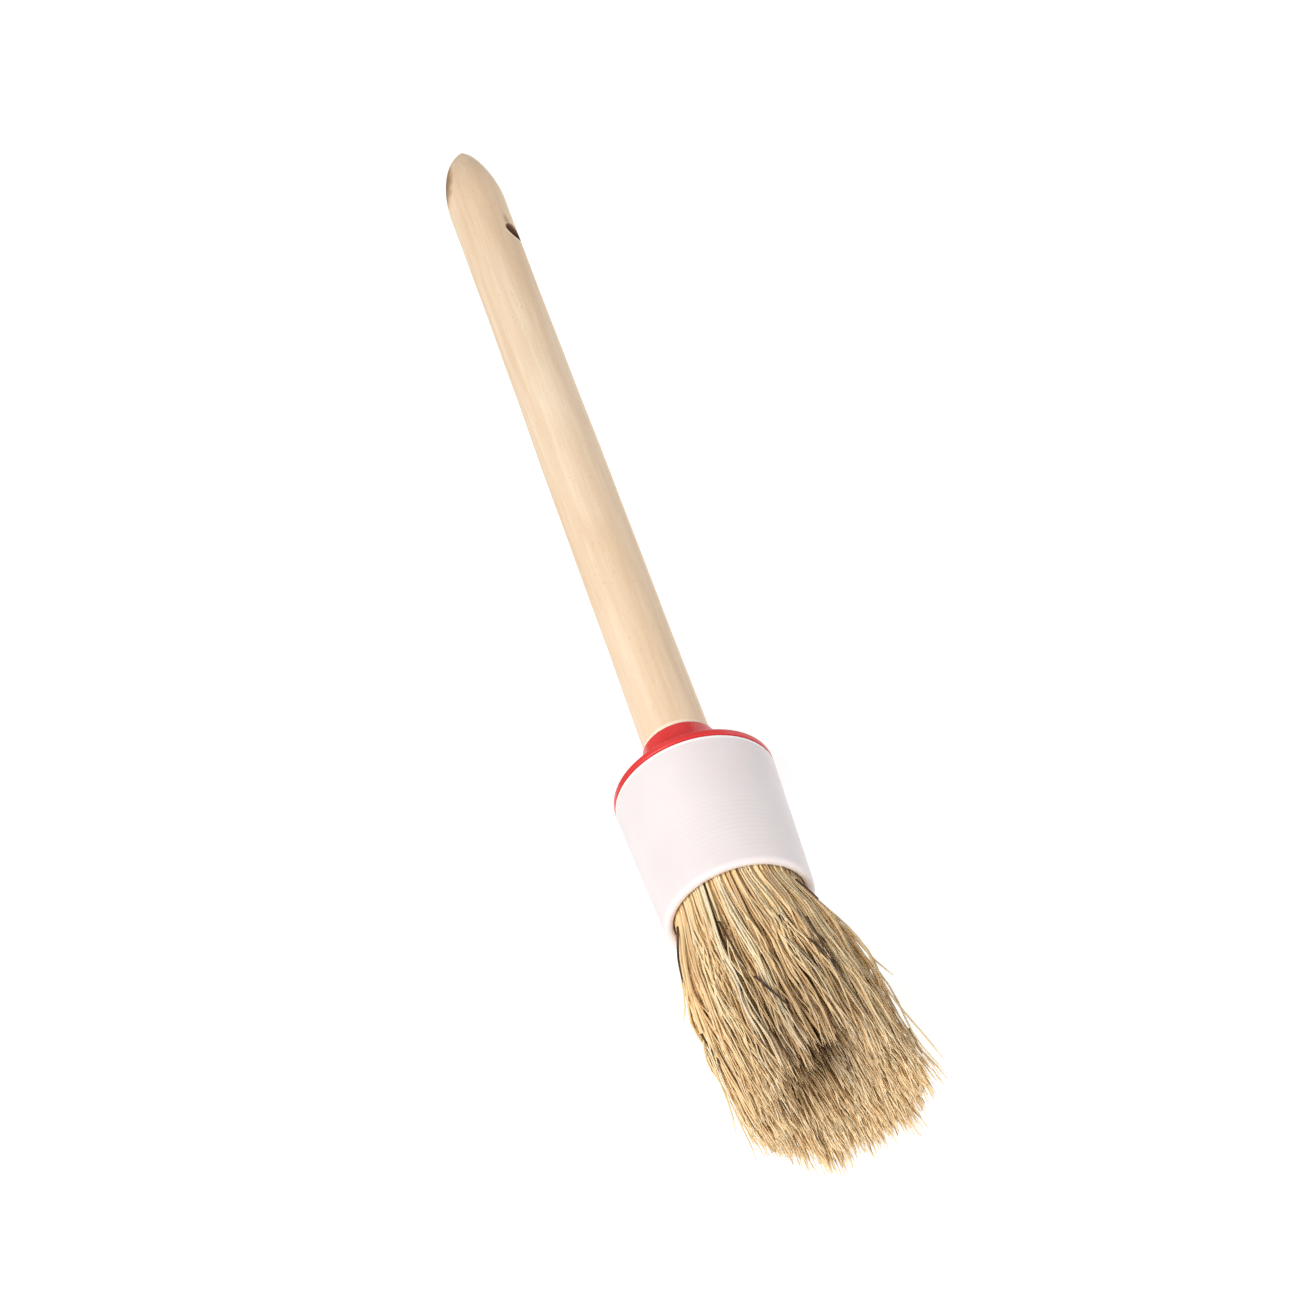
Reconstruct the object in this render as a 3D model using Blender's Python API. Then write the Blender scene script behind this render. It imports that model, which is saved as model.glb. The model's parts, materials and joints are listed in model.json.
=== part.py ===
"""Round natural-bristle brush: wooden dowel handle, red collar, white ferrule, bristle head.

Every piece is modelled along the brush's own axis, local +X, with x = 0 at the handle's
rounded end. The empty "brush_axis" then lays the brush down as it rests on a worktop, on the
handle's end and the ferrule's upper rim, with the origin under the middle of the whole brush.
"""
import math
import random

import bmesh
import bpy
from mathutils import Matrix, Vector

MM = 0.001
GAP = 0.3 * MM                      # clearance between neighbouring pieces

# ---- handle: a turned dowel with a rounded point and a wedge end inside the ferrule ----
HANDLE_RADIUS = 8.4 * MM
SWELL = 0.15 * MM                   # the turned end is a little thicker than the dowel
SWELL_X = 27.0 * MM
SWELL_LENGTH = 11.0 * MM
NOSE_LENGTH = 28.0 * MM
NOSE_FULLNESS = 0.74                # 0.5 is an ellipse, 1 is nearly a cone at the tip
TENON_END = 276.0 * MM              # where the dowel starts to narrow inside the head
WEDGE_END = 288.0 * MM
WEDGE_RADIUS = 4.0 * MM
HOLE_X = 47.4 * MM                  # hanging hole, drilled straight across the handle
HOLE_RADIUS = 3.1 * MM

# ---- collar: a short neck round the handle and a wide flange on the ferrule's rim ----
COLLAR_TOP = 247.0 * MM
NECK_RADIUS = 9.4 * MM
NECK_FOOT_RADIUS = 10.6 * MM
FLANGE_TOP = 259.5 * MM
FLANGE_RADIUS = 20.0 * MM
FLANGE_EDGE = 1.7 * MM              # height of the flange's outer edge
SPIGOT_DEPTH = 4.0 * MM             # ring of the collar that plugs into the ferrule
SPIGOT_WALL = 1.6 * MM

# ---- ferrule: a tapered sleeve, open at both ends ----
FERRULE_TOP = FLANGE_TOP + FLANGE_EDGE + GAP
FERRULE_LENGTH = 37.0 * MM
FERRULE_TOP_RADIUS = 20.0 * MM
FERRULE_MOUTH_RADIUS = 18.1 * MM
FERRULE_WALL = 2.2 * MM
MOUTH = FERRULE_TOP + FERRULE_LENGTH

# ---- resin that sets the bristle roots round the wedge ----
RESIN_TOP = FLANGE_TOP + FLANGE_EDGE + SPIGOT_DEPTH + GAP
RESIN_END = 280.0 * MM

# ---- bristle head: tufts in three rings round a hollow middle ----
ROOT = RESIN_END + GAP
FREE_LENGTH = 59.5 * MM             # from the ferrule's mouth to the mean tip
FLARE = 4.5 * MM                    # how far the head opens beyond the mouth
FLARE_LENGTH = 13.5 * MM
HOLLOW_AT_MOUTH = 2.2 * MM
HOLLOW_AT_TIP = 3.2 * MM
RINGS = [                           # name, tufts, share of the area inside it and outside it
    ("inner", 8, 0.00, 0.22),
    ("middle", 12, 0.22, 0.56),
    ("outer", 18, 0.56, 1.00),
]
TIP_SPREAD = 3.0 * MM               # tufts differ this much in length, either way
TIP_TAPER = 0.55                    # size of a tuft's blunt tip against its body
LEAN = 6.0 * MM                     # the head's tips lean to one side
LEAN_DIRECTION = math.radians(-23.7)  # from +Y towards +Z

SIDES = 48
HOLE_SIDES = 24
NOSE_STEPS = 12

COLOURS = {
    "handle": ((0.82, 0.62, 0.42), 0.62),
    "collar": ((0.62, 0.02, 0.02), 0.25),
    "ferrule": ((0.86, 0.80, 0.80), 0.38),
    "resin": ((0.16, 0.10, 0.05), 0.35),
    "bristle": ((0.56, 0.41, 0.23), 0.55),
}


def clear_scene():
    for item in list(bpy.data.objects):
        bpy.data.objects.remove(item, do_unlink=True)


def make_material(name, colour, roughness):
    material = bpy.data.materials.new(name)
    material.use_nodes = True
    shader = material.node_tree.nodes["Principled BSDF"]
    shader.inputs["Base Color"].default_value = (*colour, 1.0)
    shader.inputs["Roughness"].default_value = roughness
    shader.inputs["Metallic"].default_value = 0.0
    return material


def finish(name, work, slot, axis, smooth_below=30.0):
    """Turn a bmesh into a named object on the brush's axis."""
    bmesh.ops.recalc_face_normals(work, faces=work.faces)
    mesh = bpy.data.meshes.new(name)
    work.to_mesh(mesh)
    work.free()
    mesh.shade_smooth()
    mesh.set_sharp_from_angle(angle=math.radians(smooth_below))
    mesh.materials.append(make_material(name, *COLOURS[slot]))
    item = bpy.data.objects.new(name, mesh)
    bpy.context.scene.collection.objects.link(item)
    item.parent = axis
    return item


def turned(name, outline, slot, axis):
    """Spin a closed outline of (x, radius) points about the brush's axis."""
    work = bmesh.new()
    points = [work.verts.new((x, 0.0, radius)) for x, radius in outline]
    edges = [work.edges.new((points[i - 1], points[i])) for i in range(len(points))
             if not (outline[i - 1][1] == 0.0 and outline[i][1] == 0.0)]
    bmesh.ops.spin(work, geom=points + edges, cent=(0, 0, 0), axis=(1, 0, 0),
                   dvec=(0, 0, 0), angle=2 * math.pi, steps=SIDES)
    bmesh.ops.remove_doubles(work, verts=work.verts, dist=0.001 * MM)
    return finish(name, work, slot, axis)


def nose_radius(x):
    """Radius of the turned end at a distance x from its tip."""
    rest = 1.0 - min(x / NOSE_LENGTH, 1.0)
    swell = SWELL * math.exp(-((x - SWELL_X) / SWELL_LENGTH) ** 2)
    return (HANDLE_RADIUS + swell) * (1.0 - rest * rest) ** NOSE_FULLNESS


def make_handle(axis):
    outline = [(0.0, 0.0)]
    for step in range(1, NOSE_STEPS + 1):
        x = NOSE_LENGTH * (step / NOSE_STEPS) ** 1.6
        outline.append((x, nose_radius(x)))
    outline.append((SWELL_X + 2 * SWELL_LENGTH, HANDLE_RADIUS))
    outline += [(TENON_END, HANDLE_RADIUS), (WEDGE_END, WEDGE_RADIUS), (WEDGE_END, 0.0)]
    handle = turned("handle", outline, "handle", axis)
    work = bmesh.new()
    bmesh.ops.create_cone(work, cap_ends=True, segments=HOLE_SIDES, radius1=HOLE_RADIUS,
                          radius2=HOLE_RADIUS, depth=4 * HANDLE_RADIUS)
    drill = finish("hanging_hole_drill", work, "handle", axis)
    drill.location = (HOLE_X, 0, 0)
    drill.rotation_euler = (math.pi / 2, 0, 0)
    drill.hide_render = True
    drill.display_type = "WIRE"
    cut = handle.modifiers.new("hanging_hole", "BOOLEAN")
    cut.operation = "DIFFERENCE"
    cut.solver = "EXACT"
    cut.object = drill


def make_collar(axis):
    bore = HANDLE_RADIUS + GAP
    under = FLANGE_TOP + FLANGE_EDGE
    spigot = FERRULE_TOP_RADIUS - FERRULE_WALL - 2 * GAP
    rounding = 0.4 * MM
    outline = [
        (COLLAR_TOP, bore),
        (COLLAR_TOP, NECK_RADIUS - rounding),
        (COLLAR_TOP + rounding, NECK_RADIUS),
        (FLANGE_TOP - 2.0 * MM, NECK_FOOT_RADIUS - 0.7 * MM),
        (FLANGE_TOP - 0.6 * MM, NECK_FOOT_RADIUS),
        (FLANGE_TOP, NECK_FOOT_RADIUS + 0.8 * MM),
        (FLANGE_TOP, FLANGE_RADIUS - rounding),
        (FLANGE_TOP + rounding, FLANGE_RADIUS),
        (under, FLANGE_RADIUS),
        (under, spigot),
        (under + SPIGOT_DEPTH, spigot - 0.3 * MM),
        (under + SPIGOT_DEPTH, spigot - SPIGOT_WALL),
        (under + 0.3 * MM, spigot - SPIGOT_WALL),
        (under + 0.3 * MM, bore),
    ]
    turned("collar", outline, "collar", axis)


def ferrule_bore(x):
    """Inner radius of the ferrule at x."""
    along = (x - FERRULE_TOP) / FERRULE_LENGTH
    outer = FERRULE_TOP_RADIUS + along * (FERRULE_MOUTH_RADIUS - FERRULE_TOP_RADIUS)
    return outer - FERRULE_WALL


def make_ferrule(axis):
    rounding = 0.7 * MM
    outline = [
        (FERRULE_TOP, FERRULE_TOP_RADIUS - FERRULE_WALL),
        (FERRULE_TOP, FERRULE_TOP_RADIUS - 0.4 * MM),
        (FERRULE_TOP + 0.4 * MM, FERRULE_TOP_RADIUS),
        (MOUTH - rounding, FERRULE_MOUTH_RADIUS),
        (MOUTH - 0.3 * rounding, FERRULE_MOUTH_RADIUS - 0.3 * rounding),
        (MOUTH, FERRULE_MOUTH_RADIUS - rounding),
        (MOUTH, FERRULE_MOUTH_RADIUS - FERRULE_WALL),
    ]
    turned("ferrule", outline, "ferrule", axis)


def wedge_radius(x):
    """Radius of the handle's hidden end at x."""
    along = (x - TENON_END) / (WEDGE_END - TENON_END)
    along = min(max(along, 0.0), 1.0)
    return HANDLE_RADIUS + along * (WEDGE_RADIUS - HANDLE_RADIUS)


def make_resin(axis):
    outline = [
        (RESIN_TOP, wedge_radius(RESIN_TOP) + GAP),
        (RESIN_TOP, ferrule_bore(RESIN_TOP) - 1.5 * GAP),
        (RESIN_END, ferrule_bore(RESIN_END) - GAP),
        (RESIN_END, wedge_radius(RESIN_END) + GAP),
        (TENON_END, HANDLE_RADIUS + GAP),
    ]
    turned("resin_setting", outline, "resin", axis)


def head_radius(x):
    """Outer radius of the whole bristle head at x."""
    if x <= MOUTH:
        return ferrule_bore(x) - 1.5 * GAP
    opened = 1.0 - math.exp(-((x - MOUTH) / FLARE_LENGTH) ** 1.4)
    return ferrule_bore(MOUTH) - 1.5 * GAP + FLARE * opened


def hollow_radius(x):
    """Radius of the hollow in the middle of the head at x."""
    if x <= WEDGE_END:
        return wedge_radius(x) + GAP
    if x <= MOUTH:
        along = (x - WEDGE_END) / (MOUTH - WEDGE_END)
        return WEDGE_RADIUS + GAP + along * (HOLLOW_AT_MOUTH - WEDGE_RADIUS - GAP)
    along = (x - MOUTH) / FREE_LENGTH
    return HOLLOW_AT_MOUTH + along * (HOLLOW_AT_TIP - HOLLOW_AT_MOUTH)


def head_centre(x):
    """Sideways shift of the head's middle at x, for the lean of its tips."""
    along = max(x - MOUTH, 0.0) / FREE_LENGTH
    shift = LEAN * min(along, 1.1) ** 1.2
    return shift * math.cos(LEAN_DIRECTION), shift * math.sin(LEAN_DIRECTION)


def tuft_section(x, share_in, share_out, angle, half_angle, size):
    """Eight points round one tuft at x, shrunk by size about the tuft's own middle."""
    hollow, head = hollow_radius(x), head_radius(x)
    area = head * head - hollow * hollow
    inner = math.sqrt(hollow * hollow + share_in * area) + 0.5 * GAP
    outer = math.sqrt(hollow * hollow + share_out * area) - 0.5 * GAP
    middle = 0.5 * (inner + outer)
    centre_y, centre_z = head_centre(x)
    points = []
    for radius, turn in ((inner, -1), (middle, -1), (outer, -1), (outer, 0), (outer, 1),
                         (middle, 1), (inner, 1), (inner, 0)):
        spread = turn * max(half_angle - 0.5 * GAP / radius, 0.3 * half_angle)
        flat = Vector((radius * math.cos(angle + spread), radius * math.sin(angle + spread)))
        heart = Vector((middle * math.cos(angle), middle * math.sin(angle)))
        flat = heart + size * (flat - heart)
        points.append((x, centre_y + flat.x, centre_z + flat.y))
    return points


def make_tuft(name, share_in, share_out, angle, half_angle, tip, axis):
    stations = [(ROOT, 1.0), (WEDGE_END, 1.0), (MOUTH - 1.0 * MM, 1.0), (MOUTH + 6 * MM, 1.0),
                (MOUTH + 13 * MM, 1.0), (MOUTH + 22 * MM, 1.0), (MOUTH + 34 * MM, 1.0),
                (tip - 9 * MM, 0.97), (tip, TIP_TAPER)]
    work = bmesh.new()
    rows = []
    for x, size in stations:
        section = tuft_section(x, share_in, share_out, angle, half_angle, size)
        rows.append([work.verts.new(point) for point in section])
    count = len(rows[0])
    for near, far in zip(rows, rows[1:]):
        for i in range(count):
            j = (i + 1) % count
            work.faces.new((near[i], near[j], far[j], far[i]))
    work.faces.new(rows[0][::-1])
    work.faces.new(rows[-1])
    bmesh.ops.triangulate(work, faces=work.faces)
    finish(name, work, "bristle", axis, smooth_below=50.0)


def make_head(axis):
    dice = random.Random(7)
    for ring, count, share_in, share_out in RINGS:
        half_angle = math.pi / count
        for index in range(count):
            angle = 2 * math.pi * (index + 0.5) / count
            tip = MOUTH + FREE_LENGTH + dice.uniform(-TIP_SPREAD, TIP_SPREAD)
            name = f"bristle_tuft_{ring}_{index + 1:02d}"
            make_tuft(name, share_in, share_out, angle, half_angle, tip, axis)


def pieces():
    return [item for item in bpy.data.objects
            if item.type == "MESH" and not item.hide_render]


def world_box():
    """Lowest and highest corner of all the pieces as they stand."""
    bpy.context.view_layer.update()
    corners = [item.matrix_world @ vertex.co for item in pieces() for vertex in item.data.vertices]
    low = Vector([min(corner[i] for corner in corners) for i in range(3)])
    high = Vector([max(corner[i] for corner in corners) for i in range(3)])
    return low, high


def rest_tilt():
    """Slope of the axis when the nose and the flange's rim both touch the worktop."""
    rim = FLANGE_TOP + FLANGE_EDGE
    nose = [NOSE_LENGTH * step / 200 for step in range(1, 201)]
    return min(math.atan2(FLANGE_RADIUS - nose_radius(x), rim - x) for x in nose)


def lay_down(axis):
    axis.matrix_world = Matrix.Rotation(-rest_tilt(), 4, "Y")
    low, high = world_box()
    middle = (low + high) / 2
    axis.location = (-middle.x, -middle.y, -low.z)


def build():
    clear_scene()
    axis = bpy.data.objects.new("brush_axis", None)
    bpy.context.scene.collection.objects.link(axis)
    make_handle(axis)
    make_collar(axis)
    make_ferrule(axis)
    make_resin(axis)
    make_head(axis)
    lay_down(axis)
    bpy.context.view_layer.update()


build()
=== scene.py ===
"""Round natural-bristle brush: the looks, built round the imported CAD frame.

Pieces are modelled in the brush's own space (x along the brush from the handle's tip, y across
along the hanging hole) and placed by one matrix that is worked out from the frame.
"""
import json
import math

import bmesh
import bpy
import numpy as np
from mathutils import Matrix, Vector


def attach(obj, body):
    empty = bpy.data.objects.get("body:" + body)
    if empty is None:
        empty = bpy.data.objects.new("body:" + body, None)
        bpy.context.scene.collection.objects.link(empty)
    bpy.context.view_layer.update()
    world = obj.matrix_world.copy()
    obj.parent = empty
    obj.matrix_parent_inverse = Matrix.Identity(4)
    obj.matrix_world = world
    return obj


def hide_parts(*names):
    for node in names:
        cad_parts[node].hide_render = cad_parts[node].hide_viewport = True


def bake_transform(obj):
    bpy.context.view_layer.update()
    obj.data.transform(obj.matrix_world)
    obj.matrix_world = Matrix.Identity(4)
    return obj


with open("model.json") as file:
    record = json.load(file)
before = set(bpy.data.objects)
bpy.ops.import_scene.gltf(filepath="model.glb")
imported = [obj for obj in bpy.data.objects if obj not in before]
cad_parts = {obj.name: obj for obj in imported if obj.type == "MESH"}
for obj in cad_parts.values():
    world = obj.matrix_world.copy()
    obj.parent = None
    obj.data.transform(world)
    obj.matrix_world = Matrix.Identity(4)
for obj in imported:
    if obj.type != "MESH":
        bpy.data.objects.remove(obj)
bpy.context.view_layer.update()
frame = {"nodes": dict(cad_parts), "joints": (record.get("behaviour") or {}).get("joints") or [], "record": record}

MM = 0.001

# ---- the brush's own space ---------------------------------------------------------------
HANDLE_RADIUS = 8.4 * MM
SWELL = 0.15 * MM
SWELL_X = 27.0 * MM
SWELL_LENGTH = 11.0 * MM
NOSE_LENGTH = 28.0 * MM
NOSE_FULLNESS = 0.74
TENON_END = 276.0 * MM
WEDGE_END = 288.0 * MM
WEDGE_RADIUS = 4.0 * MM
HOLE_X = 47.4 * MM
HOLE_RADIUS = 3.1 * MM
COLLAR_TOP = 247.0 * MM
FLANGE_TOP = 259.5 * MM
FLANGE_EDGE = 1.7 * MM
FLANGE_RADIUS = 20.0 * MM
NECK_RADIUS = 9.4 * MM
FERRULE_TOP = 261.5 * MM
MOUTH = 298.5 * MM
MOUTH_RADIUS = 18.1 * MM
FERRULE_WALL = 2.2 * MM
FREE_LENGTH = 59.5 * MM

LEAN_DIRECTION = math.radians(-23.7)  # the point and the bristles both lean this way, from +Y up
POINT_SHIFT = 1.1 * MM                # how far the turned point is off the handle's middle
POINT_REACH = 6.5 * MM

joint = frame["joints"][0]
mouth_centre = Vector(joint["pos_m"])
axis_along = -Vector(frame["record"]["mounts"][0]["axis"])
axis_across = Vector((0, 1, 0))
axis_up = axis_along.cross(axis_across)
BRUSH = Matrix((
    (axis_along.x, axis_across.x, axis_up.x, 0),
    (axis_along.y, axis_across.y, axis_up.y, 0),
    (axis_along.z, axis_across.z, axis_up.z, 0),
    (0, 0, 0, 1)))
BRUSH = Matrix.Translation(mouth_centre - axis_along * MOUTH) @ BRUSH


# ---- node helpers ------------------------------------------------------------------------
class Nodes:
    """A short way to write a material's node tree."""

    def __init__(self, name):
        self.material = bpy.data.materials.new(name)
        self.material.use_nodes = True
        self.tree = self.material.node_tree
        self.shader = self.tree.nodes["Principled BSDF"]

    def add(self, kind, **values):
        node = self.tree.nodes.new(kind)
        for key, value in values.items():
            setattr(node, key, value)
        return node

    def link(self, source, target):
        self.tree.links.new(source, target)

    def place(self, offset=(0, 0, 0), scale=(1, 1, 1)):
        """The piece's own coordinates, moved and then scaled."""
        coords = self.add("ShaderNodeTexCoord")
        moved = self.add("ShaderNodeVectorMath", operation="SUBTRACT")
        moved.inputs[1].default_value = offset
        scaled = self.add("ShaderNodeVectorMath", operation="MULTIPLY")
        scaled.inputs[1].default_value = scale
        self.link(coords.outputs["Object"], moved.inputs[0])
        self.link(moved.outputs[0], scaled.inputs[0])
        return scaled.outputs[0]

    def noise(self, place, scale, detail=3.0, roughness=0.55, distortion=0.0):
        node = self.add("ShaderNodeTexNoise")
        node.inputs["Scale"].default_value = scale
        node.inputs["Detail"].default_value = detail
        node.inputs["Roughness"].default_value = roughness
        node.inputs["Distortion"].default_value = distortion
        self.link(place, node.inputs["Vector"])
        return node.outputs["Fac"]

    def ramp(self, value, *stops):
        """Colours or greys at stops (position, colour)."""
        node = self.add("ShaderNodeValToRGB")
        elements = node.color_ramp.elements
        while len(elements) < len(stops):
            elements.new(0.5)
        for element, (position, colour) in zip(elements, stops):
            element.position = position
            element.color = (colour,) * 3 + (1,) if isinstance(colour, (int, float)) else (*colour, 1)
        self.link(value, node.inputs["Fac"])
        return node.outputs["Color"]

    def mix(self, amount, first, second, blend="MIX"):
        node = self.add("ShaderNodeMix", data_type="RGBA", blend_type=blend)
        for socket, value in ((node.inputs["Factor"], amount), (node.inputs[6], first),
                              (node.inputs[7], second)):
            if isinstance(value, (int, float)):
                socket.default_value = value
            elif isinstance(value, tuple):
                socket.default_value = (*value, 1)
            else:
                self.link(value, socket)
        return node.outputs[2]

    def maths(self, operation, first, second=0.0, third=0.0):
        node = self.add("ShaderNodeMath", operation=operation)
        for socket, value in zip(node.inputs, (first, second, third)):
            if isinstance(value, (int, float)):
                socket.default_value = value
            else:
                self.link(value, socket)
        return node.outputs[0]

    def bump(self, height, strength, distance):
        node = self.add("ShaderNodeBump")
        node.inputs["Strength"].default_value = strength
        node.inputs["Distance"].default_value = distance
        self.link(height, node.inputs["Height"])
        self.link(node.outputs["Normal"], self.shader.inputs["Normal"])

    def surface(self, colour=None, roughness=None, **constants):
        for name, value in (("Base Color", colour), ("Roughness", roughness)):
            if isinstance(value, (int, float)):
                self.shader.inputs[name].default_value = value
            elif value is not None:
                self.link(value, self.shader.inputs[name])
        for name, value in constants.items():
            self.shader.inputs[name.replace("_", " ")].default_value = value
        return self.material


# ---- mesh helpers ------------------------------------------------------------------------
def place_piece(name, mesh, material, sharp=40.0):
    """A named object from a mesh in the brush's space."""
    mesh.materials.clear()
    mesh.materials.append(material)
    mesh.shade_smooth()
    mesh.set_sharp_from_angle(angle=math.radians(sharp))
    piece = bpy.data.objects.new(name, mesh)
    bpy.context.scene.collection.objects.link(piece)
    piece.matrix_world = BRUSH
    return piece


def lathe(name, outline, sides, closed):
    """Mesh turned about the brush's axis from points (x, radius).

    A closed outline makes a ring; an open one starts and ends on the axis."""
    turn = np.arange(sides) * 2 * math.pi / sides
    points, rows = [], []
    for x, radius in outline:
        if radius <= 0:
            rows.append([len(points)] * sides)
            points.append((x, 0.0, 0.0))
        else:
            rows.append(list(range(len(points), len(points) + sides)))
            points += [(x, radius * math.cos(a), radius * math.sin(a)) for a in turn]
    faces = []
    pairs = list(zip(rows, rows[1:])) + ([(rows[-1], rows[0])] if closed else [])
    for near, far in pairs:
        for i in range(sides):
            j = (i + 1) % sides
            face = list(dict.fromkeys((near[i], near[j], far[j], far[i])))
            if len(face) > 2:
                faces.append(face)
    mesh = bpy.data.meshes.new(name)
    mesh.from_pydata(points, [], faces)
    work = bmesh.new()
    work.from_mesh(mesh)
    bmesh.ops.recalc_face_normals(work, faces=work.faces)
    work.to_mesh(mesh)
    work.free()
    return mesh


def fillet(x, radius, size, start, end, steps=5):
    """Points of a round corner about (x, radius), from one angle to another, in degrees."""
    turn = [math.radians(start + (end - start) * i / steps) for i in range(steps + 1)]
    return [(x + size * math.cos(a), radius + size * math.sin(a)) for a in turn]


def apply_modifiers(piece):
    """The piece's evaluated mesh, as a new mesh."""
    bpy.context.view_layer.update()
    evaluated = piece.evaluated_get(bpy.context.evaluated_depsgraph_get())
    return bpy.data.meshes.new_from_object(evaluated)


# ---- handle ------------------------------------------------------------------------------
def handle_radius(x):
    """Radius of the visible handle at x, with the slight waver of a turned dowel."""
    rest = 1.0 - min(x / NOSE_LENGTH, 1.0)
    swell = SWELL * math.exp(-((x - SWELL_X) / SWELL_LENGTH) ** 2)
    waver = 0.05 * MM * math.sin(x / (19 * MM)) + 0.03 * MM * math.sin(x / (7.3 * MM) + 1)
    sharp = 1.0 - 0.16 * math.exp(-(x / (4 * MM)) ** 2)
    return (HANDLE_RADIUS + swell + waver) * (1.0 - rest * rest) ** NOSE_FULLNESS * sharp


def wood_material():
    n = Nodes("birch_wood")
    grain_place = n.place(scale=(1, 14, 14))
    streaks = n.noise(n.place(scale=(1, 22, 22)), 26, detail=6, roughness=0.65)
    broad = n.noise(n.place(scale=(1, 3, 3)), 14, detail=2)
    bands = n.noise(grain_place, 9, detail=2, distortion=0.6)
    colour = n.ramp(broad, (0.30, (0.84, 0.63, 0.43)), (0.50, (0.89, 0.70, 0.50)),
                    (0.72, (0.93, 0.76, 0.57)))
    colour = n.mix(n.ramp(bands, (0.46, 0.0), (0.60, 0.32)), colour, (0.74, 0.50, 0.30))
    colour = n.mix(n.ramp(streaks, (0.42, 0.30), (0.60, 0.0)), colour, (0.70, 0.48, 0.30))
    flecks = n.noise(n.place(offset=(0.3, 0.1, 0), scale=(1, 3.2, 3.2)), 620, detail=1)
    colour = n.mix(n.ramp(flecks, (0.66, 0.0), (0.74, 0.25)), colour, (0.50, 0.30, 0.16))
    pale = n.noise(n.place(offset=(0.1, 0.4, 0), scale=(1, 5, 5)), 300, detail=2)
    colour = n.mix(n.ramp(pale, (0.60, 0.0), (0.75, 0.30)), colour, (0.93, 0.80, 0.64))

    # a dark patch with a brown halo on one side of the point
    side_patch_place = n.place(offset=(15.6 * MM, -4.3 * MM, 6.1 * MM),
                         scale=(1 / (13 * MM), 1 / (4.4 * MM), 1 / (4.4 * MM)))
    far = n.add("ShaderNodeVectorMath", operation="LENGTH")
    n.link(side_patch_place, far.inputs[0])
    ragged = n.noise(n.place(scale=(1, 1.6, 1.6)), 260, detail=4)
    edge = n.maths("MULTIPLY_ADD", ragged, 0.7, n.maths("SUBTRACT", far.outputs["Value"], 0.35))
    halo = n.ramp(edge, (0.70, 0.65), (1.45, 0.0))
    colour = n.mix(halo, colour, (0.70, 0.40, 0.17))
    colour = n.mix(n.ramp(edge, (0.40, 0.85), (0.90, 0.0)), colour, (0.24, 0.145, 0.08))

    # end grain and painted shade inside the hanging hole, a painted highlight on the rim round the hole on the
    # bristle side, and a torn patch above its mouth
    bore = n.add("ShaderNodeVectorMath", operation="LENGTH")
    n.link(n.place(offset=(HOLE_X, 0, 0), scale=(1, 0, 1)), bore.inputs[0])
    share = n.maths("MULTIPLY", bore.outputs["Value"], 0.5 / HOLE_RADIUS)
    # painted shade with end grain: the walls of the bore are coloured dark brown
    inside = n.ramp(share, (0.51, 0.95), (0.55, 0.0))
    sides = n.add("ShaderNodeSeparateXYZ")
    n.link(n.place(offset=(HOLE_X, 0, 0), scale=(0.5 / HOLE_RADIUS,) * 3), sides.inputs[0])
    # painted highlight: a pale ring round the hole's mouth, on the bristle side only
    painted_rim_highlight = n.maths("MULTIPLY", n.ramp(share, (0.60, 0.75), (0.72, 0.0)),
                   n.ramp(sides.outputs["X"], (0.05, 0.0), (0.30, 1.0)))
    colour = n.mix(painted_rim_highlight, colour, (0.97, 0.86, 0.70))
    colour = n.mix(inside, colour, (0.20, 0.085, 0.05))
    torn_place = n.place(offset=(HOLE_X - 4.6 * MM, 7.6 * MM, 1.9 * MM),
                         scale=(1 / (3.2 * MM), 1 / (3 * MM), 1 / (1.3 * MM)))
    torn = n.add("ShaderNodeVectorMath", operation="LENGTH")
    n.link(torn_place, torn.inputs[0])
    tear = n.maths("MULTIPLY_ADD", ragged, 0.8, n.maths("SUBTRACT", torn.outputs["Value"], 0.4))
    colour = n.mix(n.ramp(tear, (0.35, 0.6), (0.95, 0.0)), colour, (0.42, 0.20, 0.11))

    # the pale ring where the wood goes into the collar
    separate = n.add("ShaderNodeSeparateXYZ")
    n.link(n.place(offset=(COLLAR_TOP - 1.7 * MM, 0, 0), scale=(1 / MM, 1, 1)), separate.inputs[0])
    colour = n.mix(n.ramp(separate.outputs["X"], (0.0, 0.0), (0.35, 0.75)), colour, (0.97, 0.88, 0.72))

    fibres = n.noise(n.place(scale=(1, 30, 30)), 60, detail=5, roughness=0.7)
    n.bump(fibres, 0.25, 0.00012)
    rough = n.ramp(fibres, (0.3, 0.50), (0.7, 0.66))
    return n.surface(colour, rough, Specular_IOR_Level=0.35)


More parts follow.
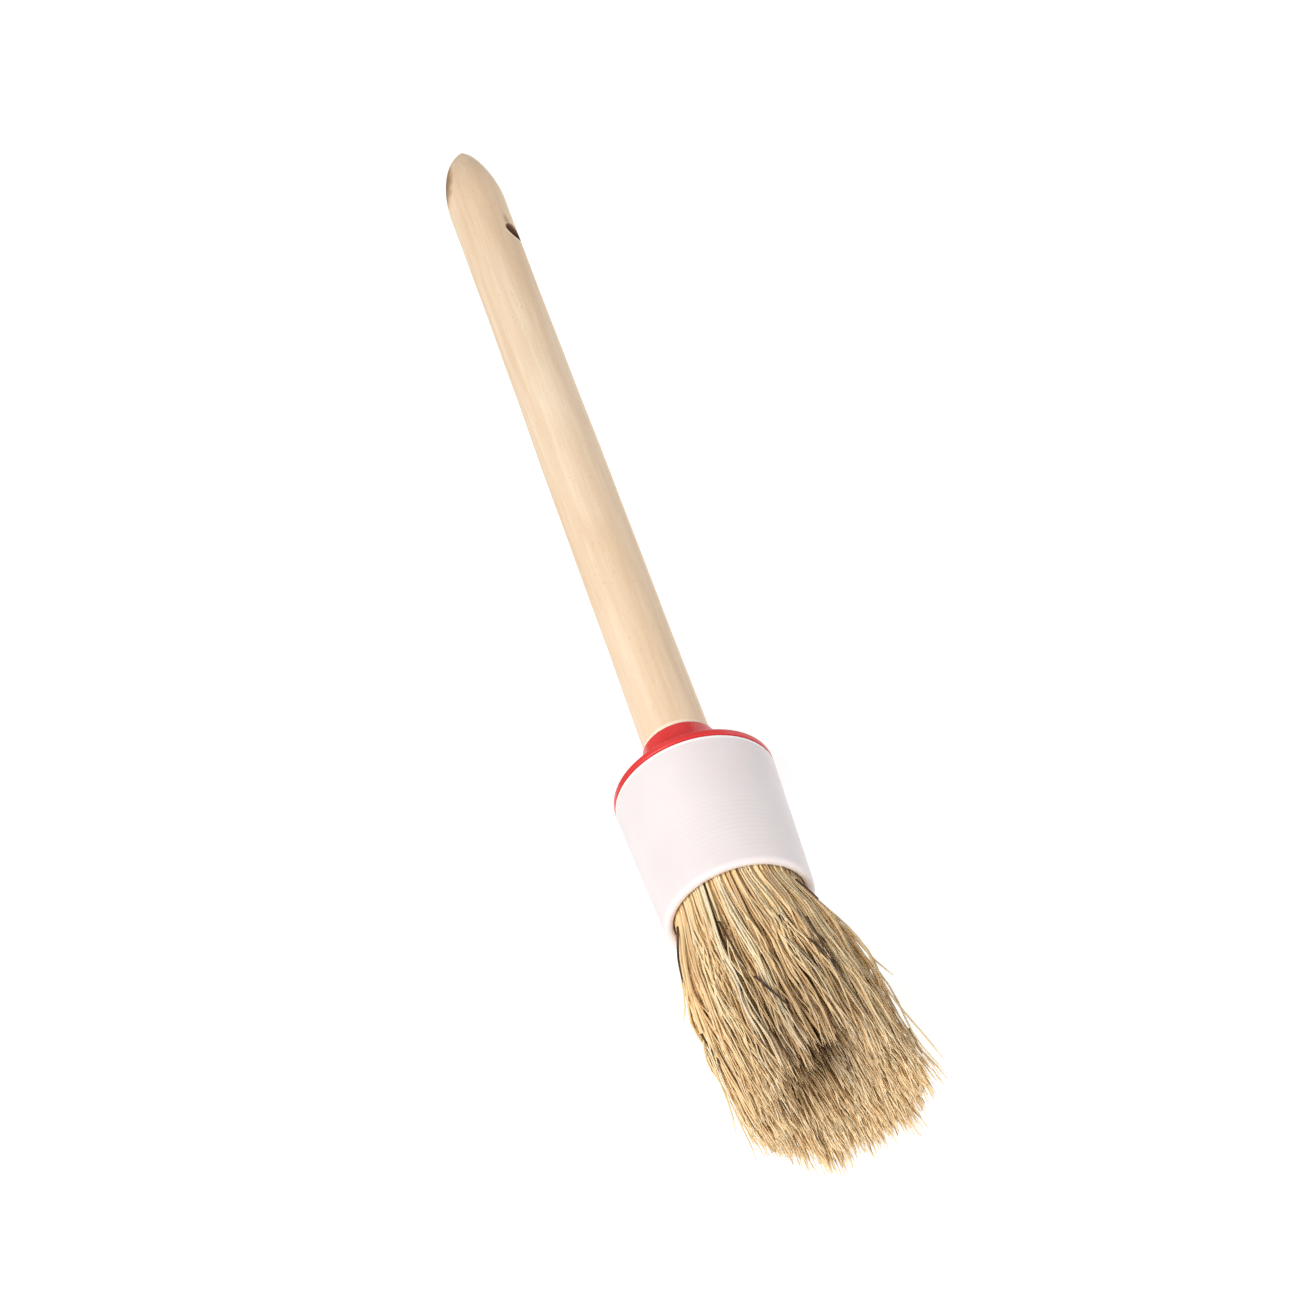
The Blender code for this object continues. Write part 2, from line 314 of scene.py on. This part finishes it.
def make_handle():
    outline = [(0.0, 0.0)]
    nose_steps = 44
    for step in range(1, nose_steps + 1):
        x = 1.35 * NOSE_LENGTH * (step / nose_steps) ** 1.7
        outline.append((x, handle_radius(x)))
    body_steps = 150
    start = outline[-1][0]
    for step in range(1, body_steps + 1):
        x = start + (TENON_END - start) * step / body_steps
        outline.append((x, handle_radius(x)))
    outline += [(WEDGE_END - 0.6 * MM, WEDGE_RADIUS), (WEDGE_END, WEDGE_RADIUS - 0.6 * MM), (WEDGE_END, 0.0)]
    wood = wood_material()
    turned = lathe("wooden_handle", outline, 96, False)
    for vertex in turned.vertices:
        shift = POINT_SHIFT * math.exp(-(vertex.co.x / POINT_REACH) ** 1.5)
        vertex.co.y += shift * math.cos(LEAN_DIRECTION)
        vertex.co.z += shift * math.sin(LEAN_DIRECTION)
    handle = place_piece("wooden_handle", turned, wood)

    flare_end, half = 9.6 * MM, 12.0 * MM
    drill_outline = [(-half, 0.0), (-half, HOLE_RADIUS + 1.0 * MM), (-flare_end, HOLE_RADIUS + 0.5 * MM),
                     (-8.3 * MM, HOLE_RADIUS + 0.15 * MM), (-7.6 * MM, HOLE_RADIUS),
                     (7.6 * MM, HOLE_RADIUS), (8.3 * MM, HOLE_RADIUS + 0.15 * MM),
                     (flare_end, HOLE_RADIUS + 0.5 * MM), (half, HOLE_RADIUS + 1.0 * MM), (half, 0.0)]
    drill_mesh = lathe("drill", drill_outline, 64, False)
    drill = bpy.data.objects.new("drill", drill_mesh)
    bpy.context.scene.collection.objects.link(drill)
    drill.matrix_world = BRUSH @ Matrix.Translation((HOLE_X, 0, 0)) @ Matrix.Rotation(math.pi / 2, 4, "Z")
    cut = handle.modifiers.new("hole", "BOOLEAN")
    cut.operation = "DIFFERENCE"
    cut.solver = "EXACT"
    cut.object = drill
    mesh = apply_modifiers(handle)
    handle.modifiers.clear()
    handle.data = mesh
    mesh.shade_smooth()
    mesh.set_sharp_from_angle(angle=math.radians(35))
    bpy.data.objects.remove(drill)
    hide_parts("handle")
    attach(handle, "holder")


# ---- collar ------------------------------------------------------------------------------
def collar_material():
    n = Nodes("red_plastic")
    broad = n.noise(n.place(), 120, detail=2)
    colour = n.ramp(broad, (0.3, (0.66, 0.036, 0.038)), (0.7, (0.76, 0.056, 0.055)))
    fine = n.noise(n.place(), 1400, detail=2)
    n.bump(fine, 0.10, 0.00005)
    scuffs = n.noise(n.place(scale=(1, 1, 2.5)), 420, detail=4)
    return n.surface(colour, n.ramp(scuffs, (0.35, 0.20), (0.75, 0.34)), Specular_IOR_Level=0.5)


def make_collar():
    bore = HANDLE_RADIUS + 0.18 * MM
    lip, foot, rim = 0.35 * MM, 1.6 * MM, 0.55 * MM
    under = FLANGE_TOP + FLANGE_EDGE
    neck_foot = 10.2 * MM
    spigot = FLANGE_RADIUS - FERRULE_WALL - 0.6 * MM
    outline = [(COLLAR_TOP + 0.2 * MM, bore)]
    outline += fillet(COLLAR_TOP + lip, NECK_RADIUS - lip, lip, 180, 90)
    outline += [(COLLAR_TOP + 4 * MM, NECK_RADIUS + 0.1 * MM), (COLLAR_TOP + 8 * MM, NECK_RADIUS + 0.35 * MM)]
    outline += fillet(FLANGE_TOP - foot, neck_foot + foot, foot, -90, 0)
    outline += fillet(FLANGE_TOP + rim, FLANGE_RADIUS - rim, rim, 180, 90)
    outline += fillet(under - 0.2 * MM, FLANGE_RADIUS - 0.2 * MM, 0.2 * MM, 90, 0, 3)
    outline += [(under, spigot), (under + 4 * MM, spigot - 0.3 * MM), (under + 4 * MM, spigot - 1.6 * MM),
                (under + 0.3 * MM, spigot - 1.6 * MM), (under + 0.3 * MM, bore)]
    collar = place_piece("red_collar", lathe("red_collar", outline, 128, True), collar_material())
    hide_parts("collar")
    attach(collar, "holder")


# ---- ferrule -----------------------------------------------------------------------------
RIB_PITCH = 1.25 * MM
RIB_HEIGHT = 0.018 * MM


def ferrule_radius(x):
    """Outer radius at x: a straight taper, ribbed by the mould on its lower part."""
    along = (x - FERRULE_TOP) / (MOUTH - FERRULE_TOP)
    straight = FLANGE_RADIUS + along * (MOUTH_RADIUS - FLANGE_RADIUS)
    starts = min(max((along - 0.28) / 0.2, 0.0), 1.0)
    ends = min(max((0.93 - along) / 0.05, 0.0), 1.0)
    rib = 0.5 - 0.5 * math.cos(2 * math.pi * (x - FERRULE_TOP) / RIB_PITCH)
    return straight - RIB_HEIGHT * starts * ends * rib ** 3


def ferrule_material():
    n = Nodes("white_plastic")
    broad = n.noise(n.place(), 60, detail=3)
    colour = n.ramp(broad, (0.3, (0.80, 0.735, 0.742)), (0.7, (0.835, 0.775, 0.78)))
    # painted highlight: a near-white band along the ferrule's top edge, under the collar's flange
    edge = n.add("ShaderNodeSeparateXYZ")
    n.link(n.place(offset=(FERRULE_TOP, 0, 0), scale=(0.5 / MM, 1, 1)), edge.inputs[0])
    colour = n.mix(n.ramp(edge.outputs["X"], (0.38, 1.0), (0.52, 0.0)), colour, (0.97, 0.96, 0.96))
    fine = n.noise(n.place(), 2600, detail=2)
    n.bump(fine, 0.12, 0.00004)
    scuffs = n.noise(n.place(scale=(1, 3, 3)), 200, detail=4)
    return n.surface(colour, n.ramp(scuffs, (0.3, 0.36), (0.7, 0.50)), Specular_IOR_Level=0.45,
                     Subsurface_Weight=0.12, Subsurface_Scale=0.002)


def make_ferrule():
    edge, lip = 0.45 * MM, 1.0 * MM
    outline = [(FERRULE_TOP, FLANGE_RADIUS - FERRULE_WALL)]
    outline += fillet(FERRULE_TOP + edge, FLANGE_RADIUS - edge, edge, 180, 90)
    steps = 300
    for step in range(1, steps):
        x = FERRULE_TOP + edge + (MOUTH - lip - FERRULE_TOP - edge) * step / steps
        outline.append((x, ferrule_radius(x)))
    outline += fillet(MOUTH - lip, MOUTH_RADIUS - lip, lip, 90, 0)
    outline += fillet(MOUTH - lip, MOUTH_RADIUS - FERRULE_WALL + lip, lip, 0, -90)
    ferrule = place_piece("white_ferrule", lathe("white_ferrule", outline, 128, True), ferrule_material())
    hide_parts("ferrule")
    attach(ferrule, "holder")


# ---- resin -------------------------------------------------------------------------------
def dress_resin():
    n = Nodes("setting_resin")
    clouds = n.noise(n.place(), 180, detail=4)
    colour = n.ramp(clouds, (0.3, (0.10, 0.055, 0.025)), (0.7, (0.19, 0.11, 0.05)))
    n.bump(clouds, 0.4, 0.0004)
    material = n.surface(colour, 0.3)
    frame["nodes"]["resin_setting"].material_slots[0].material = material


# ---- bristles ----------------------------------------------------------------------------
STRANDS = 5400
CLUMPS = 300
SEGMENTS = 16
STRAND_SIDES = 3
STRAND_RADIUS = 0.26 * MM
DARK_HAIR_RADIUS = 1.35 * STRAND_RADIUS
SECTORS = 6                          # pieces that the head is made in
RING_TUFTS = {"inner": 8, "middle": 12, "outer": 18}
SEED = 11

ROOT_X = MOUTH - 7 * MM
BUNDLE_RADIUS = 15.35 * MM
FLARE = 4.5 * MM
FLARE_LENGTH = 13.5 * MM
LEAN = 6.0 * MM
NEAR_SIDE = math.radians(66.3)       # side of the head that wears shorter
FLOOR_CLEARANCE = 0.35 * MM

CLUMP_LENGTH_SPREAD = 2.0 * MM
STRAND_LENGTH_SPREAD = 3.0 * MM
NEAR_SIDE_WEAR = 1.2 * MM
PIT = (0.22, 0.41)                   # middle of the hollow worn into the tips, in bundle radii
PIT_WIDTH = 0.42
PIT_DEPTH = 20 * MM
DEEP_PIT = 0.6                       # strands this far into the hollow get the dark brown material of painted shade
SHORT_SHARE = 0.30
SHORT_BY = (2, 30)                   # mm
STRAY_SHARE = 0.030                  # of the strands, before the side they grow on counts
STRAY_RADIUS = 0.80                  # strays come from outside this, in bundle radii
STRAY_SHORT_BY = (3, 40)             # mm
STRAY_OUT = (0.3, 3.4)               # mm
DARK_SHARE = 0.012
CLUMP_PULL = (0.45, 0.85)            # how tightly a clump's strands close up at their tips
CLUMP_WAVES = ((0.70 * MM, 0.28 * MM), (46 * MM, 22 * MM))     # sizes and lengths
OWN_WAVES = ((0.46 * MM, 0.16 * MM), (31 * MM, 17 * MM))
DRIFT = 1.2 * MM
SURFACE_HAIRS = 22                   # dark hairs that lie on the outside of the head
HAIR_SEED = 5
HAIR_START = (0, 46)                 # mm past the mouth
HAIR_LENGTH = (5, 18)                # mm
HAIR_SLANT = 8                       # degrees round the head, from start to end


def head_spread(x):
    """How far the head has opened at x, against its size in the mouth."""
    past = np.clip(x - MOUTH, 0, None)
    opened = 1.0 - np.exp(-(past / FLARE_LENGTH) ** 1.4)
    return 1.0 + FLARE / BUNDLE_RADIUS * opened


def head_lean(x):
    past = np.clip((x - MOUTH) / FREE_LENGTH, 0, 1.15)
    shift = LEAN * past ** 1.2
    return shift * math.cos(LEAN_DIRECTION), shift * math.sin(LEAN_DIRECTION)


def smooth(value, low, high):
    t = np.clip((value - low) / (high - low), 0, 1)
    return t * t * (3 - 2 * t)


def waves(dice, count, along, sizes, lengths):
    """Smooth random sideways wander, count strands by along, zero at the root."""
    total = np.zeros((count, len(along)))
    for size, length in zip(sizes, lengths):
        phase = dice.uniform(0, 2 * math.pi, (count, 1))
        stretch = dice.uniform(0.75, 1.35, (count, 1))
        height = size * np.clip(dice.normal(0, 1, (count, 1)), -1.6, 1.6)
        angle = 2 * math.pi * along[None, :] * FREE_LENGTH / (length * stretch) + phase
        total += height * (np.sin(angle) - np.sin(phase))
    return total


def scatter(dice, count, inner):
    """Radius and angle of count points spread evenly over a ring with an outer radius of 1."""
    share = dice.uniform(inner ** 2, 1, count)
    return np.sqrt(share), dice.uniform(0, 2 * math.pi, count)


def strand_lengths(dice, r, a, home):
    """Every strand's length, which strands stray, and how deep in the worn hollow each is."""
    y, z = r * np.cos(a), r * np.sin(a)
    full = MOUTH - ROOT_X + FREE_LENGTH
    clump_length = np.clip(dice.normal(0, CLUMP_LENGTH_SPREAD, CLUMPS), -4 * MM, 3 * MM)
    length = full - 0.5 * MM + clump_length[home]
    length -= np.abs(dice.normal(0, STRAND_LENGTH_SPREAD, STRANDS))
    length -= NEAR_SIDE_WEAR * (y * math.cos(NEAR_SIDE) + z * math.sin(NEAR_SIDE))
    pit = np.exp(-((y - PIT[0]) ** 2 + (z - PIT[1]) ** 2) / PIT_WIDTH ** 2)
    length -= PIT_DEPTH * pit
    short = dice.uniform(0, 1, STRANDS) < SHORT_SHARE
    length[short] -= dice.uniform(*SHORT_BY, short.sum()) * MM

    leaning = np.cos(a - LEAN_DIRECTION) > 0.80
    stray = dice.uniform(0, 1, STRANDS) < STRAY_SHARE * np.where(leaning, 2.0, 0.6)
    stray &= r > STRAY_RADIUS
    length[stray] = full - dice.uniform(*STRAY_SHORT_BY, stray.sum()) * MM
    return length, stray, pit


def strand_paths():
    """Centre lines of every strand in the brush's space, with each strand's own facts."""
    dice = np.random.default_rng(SEED)
    along = np.linspace(0, 1, SEGMENTS + 1)
    clump_r, clump_a = scatter(dice, CLUMPS, 0.15)
    clump_y, clump_z = clump_r * np.cos(clump_a), clump_r * np.sin(clump_a)
    r, a = scatter(dice, STRANDS, 0.12)
    y, z = r * np.cos(a), r * np.sin(a)
    home = np.argmin((y[:, None] - clump_y) ** 2 + (z[:, None] - clump_z) ** 2, axis=1)
    length, stray, pit = strand_lengths(dice, r, a, home)
    dark = dice.uniform(0, 1, STRANDS) < DARK_SHARE

    x = ROOT_X + along[None, :] * length[:, None]
    reach = BUNDLE_RADIUS * head_spread(x)
    free = np.clip((x - MOUTH) / FREE_LENGTH, 0, 1.2)
    path_y, path_z = y[:, None] * reach, z[:, None] * reach

    # strands close up towards the middle of their clump
    pull = dice.uniform(*CLUMP_PULL, CLUMPS)[home][:, None] * smooth(free, 0.25, 1.0)
    pull = np.clip(pull * dice.uniform(0.5, 1.2, STRANDS)[:, None], 0, CLUMP_PULL[1])
    path_y += pull * (clump_y[home][:, None] * reach - path_y)
    path_z += pull * (clump_z[home][:, None] * reach - path_z)

    # they wander with the clump and on their own; strays are straighter
    grow = smooth(free, 0.0, 0.45)
    grow[stray] *= 0.35
    clump_wave_y = waves(dice, CLUMPS, along, *CLUMP_WAVES)[home]
    clump_wave_z = waves(dice, CLUMPS, along, *CLUMP_WAVES)[home]
    own_y = waves(dice, STRANDS, along, *OWN_WAVES)
    own_z = waves(dice, STRANDS, along, *OWN_WAVES)
    drift = dice.normal(0, 1, (STRANDS, 2)) * DRIFT
    outward = np.where(stray, dice.uniform(*STRAY_OUT, STRANDS) * MM, 0.0)
    lean_y, lean_z = head_lean(x)
    path_y += grow * (clump_wave_y + own_y) + drift[:, :1] * free ** 1.6
    path_z += grow * (clump_wave_z + own_z) + drift[:, 1:] * free ** 1.6
    path_y += (outward * np.cos(a))[:, None] * along ** 3 + lean_y
    path_z += (outward * np.sin(a))[:, None] * along ** 3 + lean_z

    radius = STRAND_RADIUS * dice.uniform(0.7, 1.25, STRANDS)
    tone = np.clip(0.5 + 0.20 * dice.normal(0, 1, STRANDS)
                   + 0.16 * dice.normal(0, 1, CLUMPS)[home], 0, 1)
    hair_paths, hair_angle = dark_hair_paths()
    paths = np.concatenate([np.stack([x, path_y, path_z], axis=2), hair_paths])
    extra = SURFACE_HAIRS
    facts = {"radius": np.append(radius, np.full(extra, DARK_HAIR_RADIUS)),
             "angle": np.append(a, hair_angle),
             "tone": np.append(tone, np.zeros(extra)),
             "pit": np.append(pit, np.zeros(extra)),
             "dark": np.append(dark, np.ones(extra, dtype=bool))}
    return paths, facts


def dark_hair_paths():
    """Centre lines of the dark hairs on the outside of the head, and the angle each starts at."""
    dice = np.random.default_rng(HAIR_SEED)
    start = MOUTH + dice.uniform(*HAIR_START, SURFACE_HAIRS) * MM
    length = dice.uniform(*HAIR_LENGTH, SURFACE_HAIRS) * MM
    first = dice.uniform(0, 2 * math.pi, SURFACE_HAIRS)
    slant = np.radians(dice.normal(0, HAIR_SLANT, SURFACE_HAIRS))
    share = np.linspace(0, 1, SEGMENTS + 1)[None, :]
    x = start[:, None] + length[:, None] * share
    angle = first[:, None] + slant[:, None] * share
    lean_y, lean_z = head_lean(x)
    clear = 0.3 * MM + 0.8 * MM * smooth(x, MOUTH, MOUTH + 12 * MM)
    radius = BUNDLE_RADIUS * head_spread(x) + clear
    paths = np.stack([x, radius * np.cos(angle) + lean_y, radius * np.sin(angle) + lean_z], axis=2)
    return paths, first


def keep_off_floor(points):
    """Strand points in the row frame, lifted softly where they would pass into the worktop."""
    low = points[..., 2] < FLOOR_CLEARANCE * 3
    height = points[..., 2]
    eased = FLOOR_CLEARANCE + FLOOR_CLEARANCE * 2 * np.exp((height - FLOOR_CLEARANCE * 3) / (2 * MM))
    points[..., 2] = np.where(low, eased, height)
    return points


def bristle_material():
    n = Nodes("hog_bristle")

    def fact(name):
        return n.add("ShaderNodeAttribute", attribute_name=name).outputs["Fac"]

    tone, along, pit = fact("tone"), fact("along"), fact("pit")
    colour = n.ramp(tone, (0.05, (0.74, 0.47, 0.22)), (0.35, (0.98, 0.70, 0.38)),
                    (0.60, (1.0, 0.79, 0.45)), (0.95, (1.0, 0.90, 0.68)))
    flags = n.ramp(along, (0.70, 0.0), (0.95, 0.30))
    colour = n.mix(flags, colour, (0.84, 0.64, 0.40))
    mottle = n.noise(n.place(), 260, detail=2)
    colour = n.mix(n.ramp(mottle, (0.40, 0.10), (0.62, 0.0)), colour, (0.62, 0.40, 0.20))
    # painted shade: towards their tips, strands far into the worn hollow are darkened to dark brown
    pit_shade = n.maths("MULTIPLY", n.maths("POWER", pit, 0.7), n.ramp(along, (0.35, 0.0), (0.65, 1.0)))
    colour = n.mix(pit_shade, colour, (0.17, 0.075, 0.024))
    return n.surface(colour, 0.38, Specular_IOR_Level=0.5, Sheen_Weight=1.0, Sheen_Roughness=0.5,
                     Sheen_Tint=(1.0, 0.80, 0.50, 1))


def dark_bristle_material():
    n = Nodes("dark_bristle")
    shade = n.noise(n.place(), 300, detail=2)
    colour = n.ramp(shade, (0.35, (0.05, 0.028, 0.018)), (0.65, (0.13, 0.075, 0.042)))
    return n.surface(colour, 0.5, Specular_IOR_Level=0.3)


def pit_shade_bristle_material():
    """Painted shade: dark brown bristles for the strands far into the worn hollow, darkened for the shade that
    falls there.
    """
    n = Nodes("pit_shade_bristle")
    shade = n.noise(n.place(), 300, detail=2)
    colour = n.ramp(shade, (0.35, (0.17, 0.085, 0.030)), (0.65, (0.36, 0.20, 0.085)))
    return n.surface(colour, 0.5, Specular_IOR_Level=0.3)


def strand_mesh(name, paths, radius, kind, shades):
    """Closed, tapered tubes along the paths, as one mesh in the row frame.

    A strand's kind is the index of its material."""
    count, stations = paths.shape[:2]
    along = np.linspace(0, 1, stations)
    taper = 1.0 - 0.35 * along ** 2.5
    taper[-1] *= 0.45
    turn = np.arange(STRAND_SIDES) * 2 * math.pi / STRAND_SIDES
    across, up = np.array(axis_across), np.array(axis_up)
    circle = np.cos(turn)[:, None] * across + np.sin(turn)[:, None] * up
    size = radius[:, None] * taper[None, :]
    points = paths[:, :, None, :] + size[:, :, None, None] * circle[None, None, :, :]
    rings = np.arange(count * stations * STRAND_SIDES).reshape(count, stations, STRAND_SIDES)
    near, far = rings[:, :-1], rings[:, 1:]
    quads = np.stack([near, np.roll(near, -1, 2), np.roll(far, -1, 2), far], axis=3).reshape(-1, 4)
    ends = np.concatenate([rings[:, 0, ::-1], rings[:, -1]])
    loops = np.concatenate([quads.ravel(), ends.ravel()])
    sizes = np.concatenate([np.full(len(quads), 4), np.full(len(ends), STRAND_SIDES)])
    starts = np.concatenate([[0], np.cumsum(sizes)[:-1]])
    mesh = bpy.data.meshes.new(name)
    mesh.vertices.add(points.size // 3)
    mesh.vertices.foreach_set("co", points.astype(np.float32).ravel())
    mesh.loops.add(len(loops))
    mesh.loops.foreach_set("vertex_index", loops.astype(np.int32))
    mesh.polygons.add(len(sizes))
    mesh.polygons.foreach_set("loop_start", starts.astype(np.int32))
    mesh.update(calc_edges=True)
    mesh.validate()
    face_kinds = np.concatenate([np.repeat(kind, (stations - 1) * STRAND_SIDES), kind, kind])
    mesh.polygons.foreach_set("material_index", face_kinds.astype(np.int32))
    for key, values in shades.items():
        spread = np.broadcast_to(values, (count, stations))
        layer = mesh.attributes.new(key, "FLOAT", "POINT")
        layer.data.foreach_set("value", np.repeat(spread, STRAND_SIDES, axis=1).astype(np.float32).ravel())
    return mesh


def tuft_sector(node):
    """Which sector of the head a CAD tuft lies in."""
    ring, index = node.split("_")[-2:]
    return int((int(index) - 0.5) / RING_TUFTS[ring] * SECTORS)


def make_bristles():
    paths, facts = strand_paths()
    free = np.clip((paths[..., 0] - MOUTH) / FREE_LENGTH, 0, 1.2)
    matrix = np.array(BRUSH)
    paths = keep_off_floor(paths @ matrix[:3, :3].T + matrix[:3, 3])
    sector = (facts["angle"] / (2 * math.pi) * SECTORS).astype(int)
    materials = bristle_material(), dark_bristle_material(), pit_shade_bristle_material()
    # kind 2: strands far into the hollow get the dark brown material of painted shade
    kind = np.where(facts["dark"], 1, np.where(facts["pit"] > DEEP_PIT, 2, 0))
    tufts = [node for node in frame["nodes"] if node.startswith("bristle_tuft")]
    for index in range(SECTORS):
        mine = sector == index
        shades = {"tone": facts["tone"][mine][:, None], "along": free[mine],
                  "pit": facts["pit"][mine][:, None]}
        name = f"bristles_{index + 1}"
        mesh = strand_mesh(name, paths[mine], facts["radius"][mine], kind[mine], shades)
        for material in materials:
            mesh.materials.append(material)
        mesh.shade_smooth()
        piece = bpy.data.objects.new(name, mesh)
        bpy.context.scene.collection.objects.link(piece)
        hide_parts(*[node for node in tufts if tuft_sector(node) == index])
        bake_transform(piece)


# ---- floor, light and camera -------------------------------------------------------------
def make_floor():
    n = Nodes("pale_floor")
    n.surface(roughness=0.9, Base_Color=(0.25, 0.25, 0.25, 1), Emission_Color=(1, 1, 1, 1),
              Emission_Strength=0.92)
    half = 15.0
    mesh = bpy.data.meshes.new("floor")
    mesh.from_pydata([(-half, -half, 0), (half, -half, 0), (half, half, 0), (-half, half, 0)], [],
                     [(0, 1, 2, 3)])
    mesh.materials.append(n.material)
    floor = bpy.data.objects.new("floor", mesh)
    bpy.context.scene.collection.objects.link(floor)


CAMERA_TILT = math.radians(41.0)     # how far the brush's axis comes out of the picture's plane
CAMERA_SIDE = math.radians(66.3)     # direction of the camera round the brush, from +Y upwards
CAMERA_DISTANCE = 650 * MM
CAMERA_AIM_X = 215.4 * MM            # place on the axis nearest the middle of the picture
CAMERA_AIM_SHIFT = 2.0 * MM
PICTURE_TILT = math.radians(20.67)    # of the brush in the picture, from straight down
LENS = 71.7


def camera_axes():
    """Right, up and back of the camera, in the row frame."""
    side = Vector((0, math.cos(CAMERA_SIDE), math.sin(CAMERA_SIDE)))
    back = Vector((math.sin(CAMERA_TILT), 0, 0)) + math.cos(CAMERA_TILT) * side
    down_image = (Vector((1, 0, 0)) - back * back.x).normalized()
    right_image = -down_image.cross(back).normalized()
    down = down_image * math.cos(PICTURE_TILT) - right_image * math.sin(PICTURE_TILT)
    right = down_image * math.sin(PICTURE_TILT) + right_image * math.cos(PICTURE_TILT)
    to_row = BRUSH.to_3x3()
    return to_row @ right, to_row @ -down, to_row @ back, to_row @ right_image


def make_camera():
    right, up, back, beside = camera_axes()
    aim = BRUSH @ Vector((CAMERA_AIM_X, 0, 0)) + beside * CAMERA_AIM_SHIFT
    camera = bpy.data.cameras.new("camera")
    camera.lens = LENS
    camera.sensor_width = 36.0
    camera.clip_start, camera.clip_end = 0.01, 20.0
    holder = bpy.data.objects.new("camera", camera)
    bpy.context.scene.collection.objects.link(holder)
    place = Matrix((right, up, back)).transposed().to_4x4()
    holder.matrix_world = Matrix.Translation(aim + back * CAMERA_DISTANCE) @ place
    bpy.context.scene.camera = holder
    return right, up, back, aim


def soft_light(name, aim, direction, distance, size, power, colour=(1, 1, 1)):
    """A square area light that looks at aim from a direction."""
    light = bpy.data.lights.new(name, "AREA")
    light.shape = "SQUARE"
    light.size = size
    light.energy = power
    light.color = colour
    lamp = bpy.data.objects.new(name, light)
    bpy.context.scene.collection.objects.link(lamp)
    direction = direction.normalized()
    lamp.location = aim + direction * distance
    lamp.rotation_mode = "QUATERNION"
    lamp.rotation_quaternion = direction.to_track_quat("Z", "Y")


def make_studio():
    right, up, back, aim = make_camera()
    soft_light("key", aim, -0.52 * right - 0.05 * up + 1.05 * back, 2.0, 1.1, 48.0, (1.0, 0.985, 0.965))
    soft_light("fill", aim, 0.4 * right - 0.6 * up + 0.8 * back, 1.1, 0.8, 0.6, (0.97, 0.98, 1.0))
    world = bpy.data.worlds.new("studio")
    world.use_nodes = True
    world.node_tree.nodes["Background"].inputs["Color"].default_value = (1.0, 0.99, 0.985, 1)
    world.node_tree.nodes["Background"].inputs["Strength"].default_value = 0.22
    bpy.context.scene.world = world
    bpy.context.scene.view_settings.view_transform = "Standard"


make_handle()
make_collar()
make_ferrule()
dress_resin()
make_bristles()
make_floor()
make_studio()
